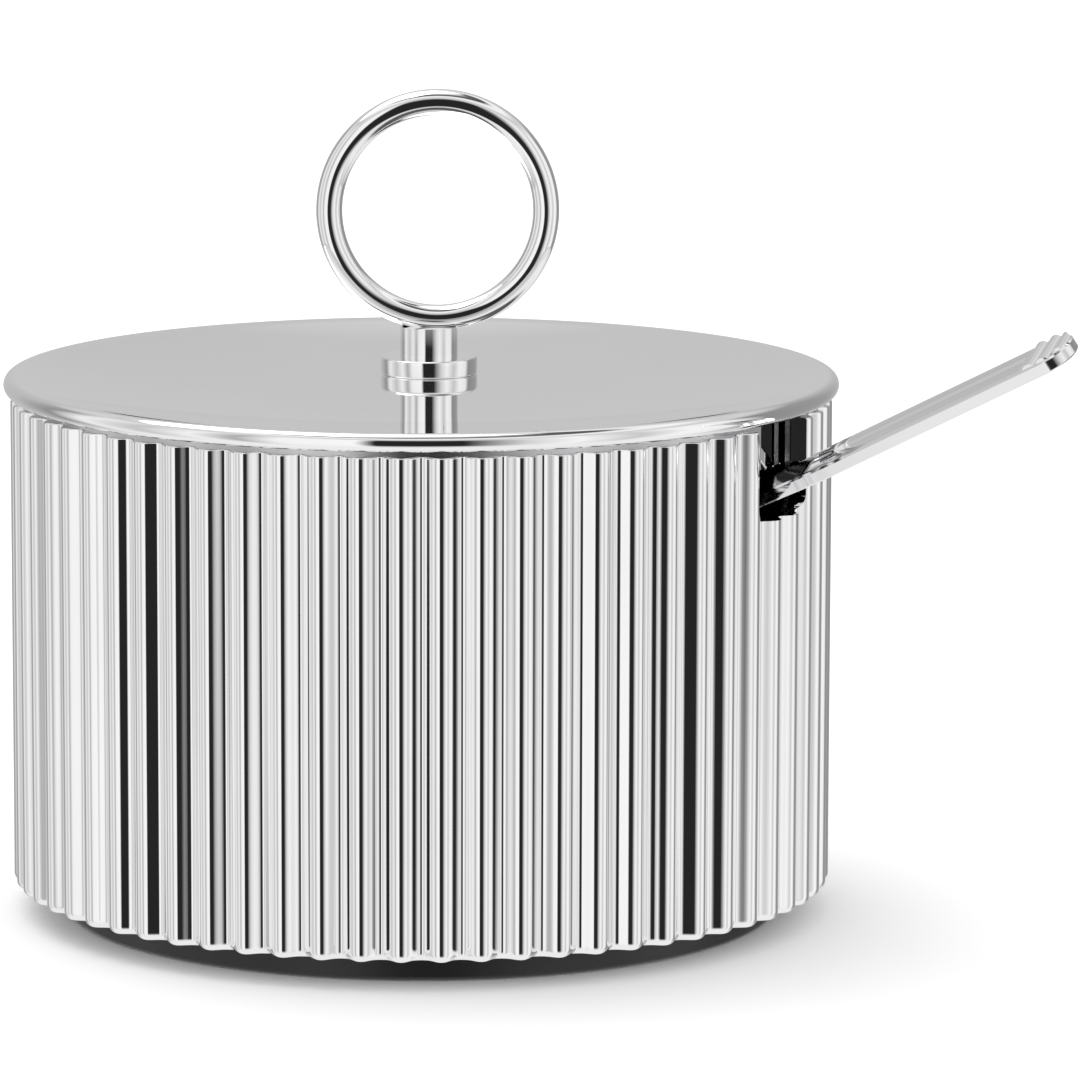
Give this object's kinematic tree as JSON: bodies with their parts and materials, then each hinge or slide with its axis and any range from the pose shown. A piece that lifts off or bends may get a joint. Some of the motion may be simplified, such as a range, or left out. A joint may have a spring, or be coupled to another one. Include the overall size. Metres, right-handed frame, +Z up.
{
  "type": "sugar bowl",
  "caption": "Round lidded sugar bowl with a vertically fluted polished wall, a dished lid with an upright ring finial, a black base, and a spoon leaning out of a notch.",
  "frame": {"origin": "centre of the base's underside, on the table", "axes": "+Z up out of the bowl; the finial ring faces -Y; the notch and the spoon's handle point between +X and -Y"},
  "size_m": [0.1015, 0.0812, 0.0804],
  "materials": {
    "polished_steel": "mirror-polished stainless steel",
    "cup_steel": "satin stainless steel",
    "spoon_steel": "polished stainless steel",
    "screw_steel": "plain steel",
    "black_base": "satin black"
  },
  "bodies": {
    "bowl": {"fluted_shell": "polished_steel", "inner_cup": "cup_steel", "base_pad": "black_base"},
    "lid": {"lid_plate": "polished_steel", "lid_skirt": "polished_steel", "finial_base": "polished_steel", "finial_cap": "polished_steel", "finial_ring": "polished_steel", "finial_screw": "screw_steel", "screw_washer": "screw_steel"},
    "spoon": {"sugar_spoon": "spoon_steel"}
  },
  "joints": [
    {"name": "lid_lift", "type": "slide", "parent": "bowl", "child": "lid", "axis": [0, 0, 1], "range_m": [0, 0.06]},
    {"name": "spoon_draw", "type": "slide", "parent": "bowl", "child": "spoon", "axis": [0.7733, -0.4393, 0.4571], "range_m": [0, 0.035]}
  ]
}
